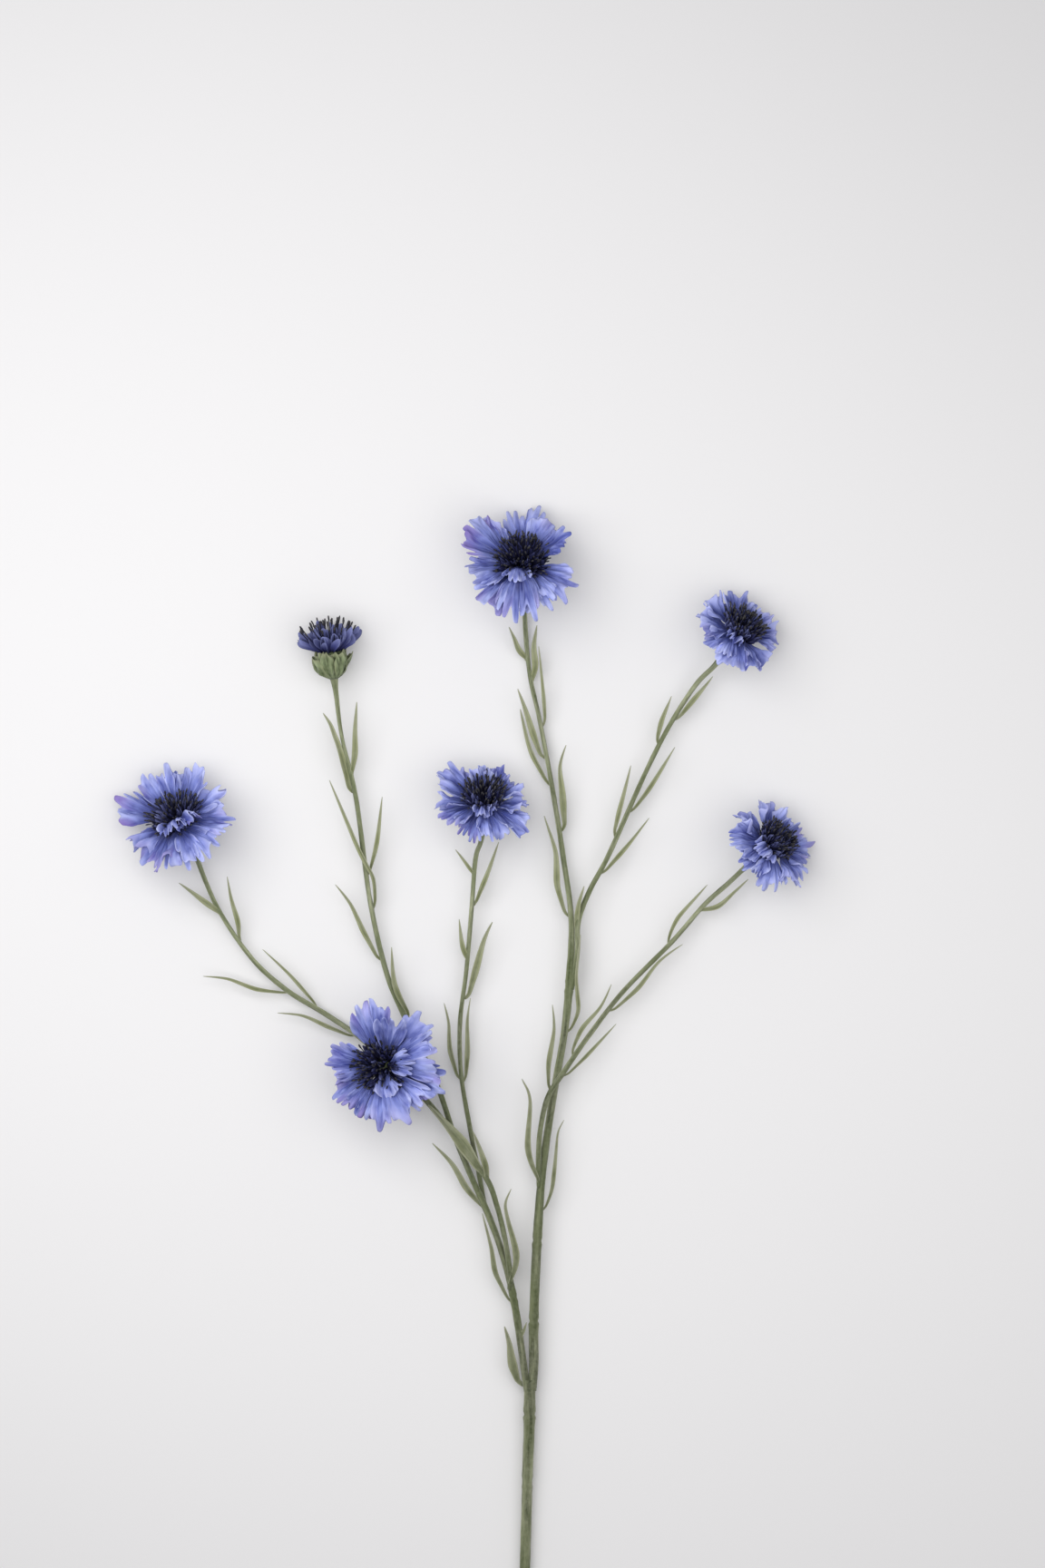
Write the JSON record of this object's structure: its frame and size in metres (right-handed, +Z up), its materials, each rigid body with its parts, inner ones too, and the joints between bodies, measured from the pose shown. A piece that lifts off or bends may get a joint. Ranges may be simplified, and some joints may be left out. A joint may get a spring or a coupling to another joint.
{
  "type": "cornflower",
  "caption": "Cut, branched cornflower spray lying on its side, with open blue heads, a half-open head and narrow leaves.",
  "frame": {"origin": "centre of the spray's outline, on the surface that it lies on", "axes": "+Y along the spray from the cut end of the stem to the flowers, +Z up from the surface, +X to the right"},
  "size_m": [0.2422, 0.4524, 0.0319],
  "materials": {
    "stem": "matte",
    "leaf": "matte",
    "bract": "matte",
    "ray_petal": "matte",
    "disc_floret": "satin"
  },
  "bodies": {
    "root": {"bud_branch": "stem", "bud_branch_leaf_1": "leaf", "bud_branch_leaf_2": "leaf", "bud_branch_leaf_3": "leaf", "bud_branch_leaf_4": "leaf", "bud_branch_leaf_5": "leaf", "front_branch": "stem", "front_disc_florets": "disc_floret", "front_involucre": "bract", "front_ray_florets": "ray_petal", "half_open_disc_florets": "disc_floret", "half_open_involucre": "bract", "inner_branch": "stem", "inner_branch_leaf_1": "leaf", "inner_branch_leaf_2": "leaf", "inner_branch_leaf_3": "leaf", "inner_branch_leaf_4": "leaf", "inner_disc_florets": "disc_floret", "inner_involucre": "bract", "inner_ray_florets": "ray_petal", "left_branch": "stem", "left_branch_leaf_1": "leaf", "left_branch_leaf_2": "leaf", "left_branch_leaf_3": "leaf", "left_disc_florets": "disc_floret", "left_involucre": "bract", "left_leader": "stem", "left_leader_leaf_1": "leaf", "left_leader_leaf_2": "leaf", "left_ray_florets": "ray_petal", "lower_right_branch": "stem", "lower_right_branch_leaf_1": "leaf", "lower_right_branch_leaf_2": "leaf", "lower_right_branch_leaf_3": "leaf", "lower_right_branch_leaf_4": "leaf", "lower_right_disc_florets": "disc_floret", "lower_right_involucre": "bract", "lower_right_ray_florets": "ray_petal", "main_stem": "stem", "right_leader": "stem", "right_leader_leaf_1": "leaf", "right_leader_leaf_2": "leaf", "right_leader_leaf_3": "leaf", "right_leader_leaf_4": "leaf", "right_leader_leaf_5": "leaf", "right_leader_leaf_6": "leaf", "right_leader_leaf_7": "leaf", "right_leader_leaf_8": "leaf", "top_disc_florets": "disc_floret", "top_involucre": "bract", "top_ray_florets": "ray_petal", "upper_right_branch": "stem", "upper_right_branch_leaf_1": "leaf", "upper_right_branch_leaf_2": "leaf", "upper_right_branch_leaf_3": "leaf", "upper_right_branch_leaf_4": "leaf", "upper_right_branch_leaf_5": "leaf", "upper_right_disc_florets": "disc_floret", "upper_right_involucre": "bract", "upper_right_ray_florets": "ray_petal"}
  },
  "joints": []
}
